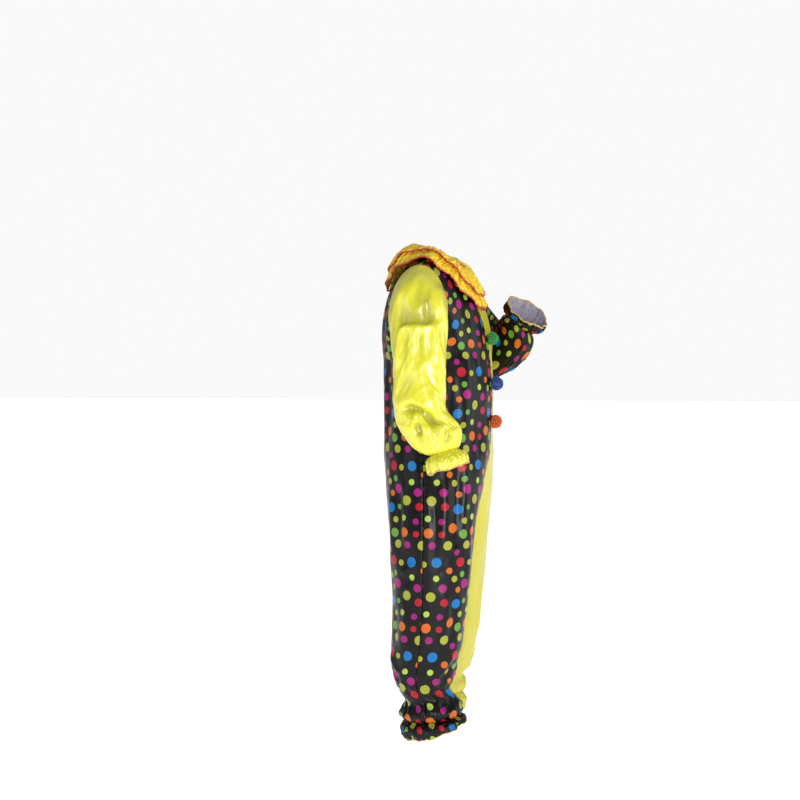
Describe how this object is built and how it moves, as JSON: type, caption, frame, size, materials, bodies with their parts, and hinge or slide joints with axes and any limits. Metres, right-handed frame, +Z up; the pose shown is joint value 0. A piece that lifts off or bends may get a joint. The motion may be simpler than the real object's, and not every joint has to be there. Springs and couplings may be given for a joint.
{
  "type": "clown jumpsuit",
  "caption": "Loose two-tone clown jumpsuit, half dotted and half plain satin, with a tiered ruffled collar, pompoms down the front and gathered frills at wrists and ankles.",
  "frame": {"origin": "on the wearer's centre plane between the shoulders, level with the lower ends of the shoulder seams, where the shoulders carry the garment", "axes": "+Z up along the standing wearer; the front faces -Y; +X is the wearer's left"},
  "size_m": [0.6237, 0.4875, 1.4824],
  "materials": {
    "dotted_satin": "black satin with polka dots in several colours",
    "yellow_satin": "glossy yellow satin",
    "gold_ruffle": "crinkled golden-yellow satin",
    "red_trim": "dark red woven trim",
    "gold_binding": "gold binding",
    "green_pile": "cut yarn",
    "blue_pile": "cut yarn",
    "orange_pile": "cut yarn"
  },
  "bodies": {
    "root": {"front_right": "dotted_satin", "back_right": "dotted_satin", "front_left": "yellow_satin", "back_left": "yellow_satin", "sleeve_right": "yellow_satin", "sleeve_left": "dotted_satin", "cuff_right_frill": "yellow_satin", "cuff_right_binding": "gold_binding", "cuff_left_frill": "dotted_satin", "cuff_left_binding": "gold_binding", "ankle_right_frill": "dotted_satin", "ankle_right_binding": "gold_binding", "ankle_left_frill": "yellow_satin", "ankle_left_binding": "gold_binding", "collar_lower": "gold_ruffle", "collar_lower_trim": "red_trim", "collar_upper": "gold_ruffle", "collar_upper_trim": "red_trim", "neck_binding": "red_trim", "pompom_green": "green_pile", "pompom_blue": "blue_pile", "pompom_orange": "orange_pile"}
  },
  "joints": []
}
